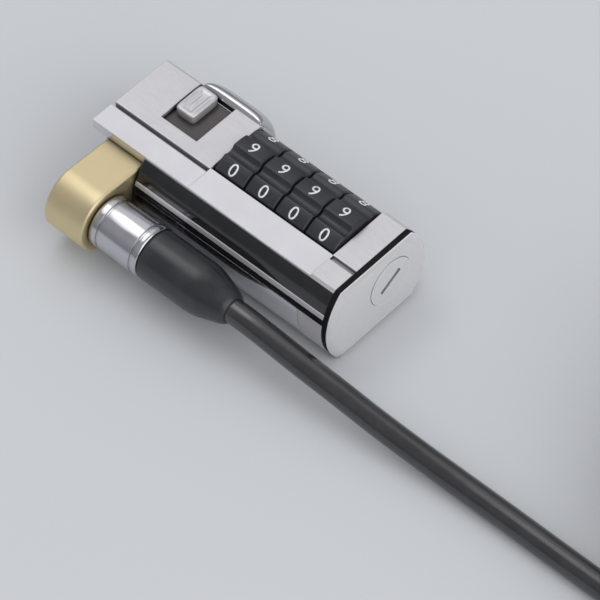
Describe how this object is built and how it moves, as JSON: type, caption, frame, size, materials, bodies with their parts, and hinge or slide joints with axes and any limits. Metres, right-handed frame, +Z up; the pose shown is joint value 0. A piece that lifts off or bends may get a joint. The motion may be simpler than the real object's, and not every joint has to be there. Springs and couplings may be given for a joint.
{
  "type": "laptop cable lock",
  "caption": "Combination cable lock for a laptop's slot: number dials in a flat-sided barrel, release slide, swivel collar and black steel cable with an eye.",
  "frame": {"origin": "middle of the barrel's length, under its axis, on the flat underside that the lock lies on", "axes": "+X along the barrel from the nose to the end plate, +Z up, -Y towards the side on which the cable leaves"},
  "size_m": [0.1533, 0.0646, 0.0225],
  "materials": {
    "body_chrome": "polished, smoky reflections",
    "end_satin": "fine satin",
    "black_plastic": "gloss",
    "dial_black": "satin, with white digits",
    "hub_brass": "machined",
    "hard_steel": "dark, machined",
    "spring_steel": "bright",
    "collar_gold": "plated, polished",
    "sleeve_black": "satin",
    "cable_jacket": "gloss",
    "crimp_metal": "satin"
  },
  "bodies": {
    "lock_body": {"nose_housing": "body_chrome", "dial_housing": "body_chrome", "end_frame": "end_satin", "end_gasket": "black_plastic", "end_plate": "end_satin", "top_plate": "end_satin", "side_panel": "black_plastic", "trim_strip": "body_chrome", "nose_liner": "hard_steel", "nose_ring": "hard_steel", "latch_cover": "body_chrome", "latch_spring": "spring_steel", "release_spring": "spring_steel", "dial_washers": "spring_steel", "detent_spring": "spring_steel", "tie_screws": "hard_steel", "collar_washer": "spring_steel"},
    "dial_1_body": {"dial_1": "dial_black", "hub_1": "hub_brass"},
    "dial_2_body": {"dial_2": "dial_black", "hub_2": "hub_brass"},
    "dial_3_body": {"dial_3": "dial_black", "hub_3": "hub_brass"},
    "dial_4_body": {"dial_4": "dial_black", "hub_4": "hub_brass"},
    "slide_body": {"release_button": "end_satin", "slide_plate": "hard_steel", "spindle": "hard_steel"},
    "latch_body": {"latch_plate": "hard_steel", "latch_pin": "hard_steel"},
    "collar_body": {"collar": "collar_gold", "cable_stop": "hard_steel", "ferrule": "body_chrome", "cable_core": "hard_steel", "sleeve": "sleeve_black", "cable_run": "cable_jacket", "cable_coil": "cable_jacket", "cable_tail": "cable_jacket", "loop_crimp": "crimp_metal", "cable_eye": "cable_jacket"},
    "reset_body": {"reset_screw": "end_satin"}
  },
  "joints": [
    {"name": "dial_1_turn", "type": "hinge", "parent": "lock_body", "child": "dial_1_body", "pos_m": [-0.00245, 0.0024, 0.009], "axis": [1, 0, 0], "continuous": true, "deforming": ["detent_spring"]},
    {"name": "dial_2_turn", "type": "hinge", "parent": "lock_body", "child": "dial_2_body", "pos_m": [0.00355, 0.0024, 0.009], "axis": [1, 0, 0], "continuous": true, "deforming": ["detent_spring"]},
    {"name": "dial_3_turn", "type": "hinge", "parent": "lock_body", "child": "dial_3_body", "pos_m": [0.00955, 0.0024, 0.009], "axis": [1, 0, 0], "continuous": true, "deforming": ["detent_spring"]},
    {"name": "dial_4_turn", "type": "hinge", "parent": "lock_body", "child": "dial_4_body", "pos_m": [0.01555, 0.0024, 0.009], "axis": [1, 0, 0], "continuous": true, "deforming": ["detent_spring"]},
    {"name": "release_slide", "type": "slide", "parent": "lock_body", "child": "slide_body", "axis": [1, 0, 0], "range_m": [0, 0.0025], "stiffness_N_per_m": 500, "springref_m": -0.002, "deforming": ["release_spring"]},
    {"name": "latch_slide", "type": "slide", "parent": "lock_body", "child": "latch_body", "axis": [0, 1, 0], "range_m": [0, 0.001], "deforming": ["latch_spring"]},
    {"name": "collar_swivel", "type": "hinge", "parent": "lock_body", "child": "collar_body", "pos_m": [-0.01835, 0, 0.0073], "axis": [1, 0, 0], "range_deg": [0, 120]},
    {"name": "reset_turn", "type": "hinge", "parent": "lock_body", "child": "reset_body", "pos_m": [0.02465, 0.0024, 0.009], "axis": [1, 0, 0], "range_deg": [0, 90]}
  ],
  "couplings": [
    {"joint": "latch_slide", "follows": "release_slide", "ratio": 0.4}
  ]
}
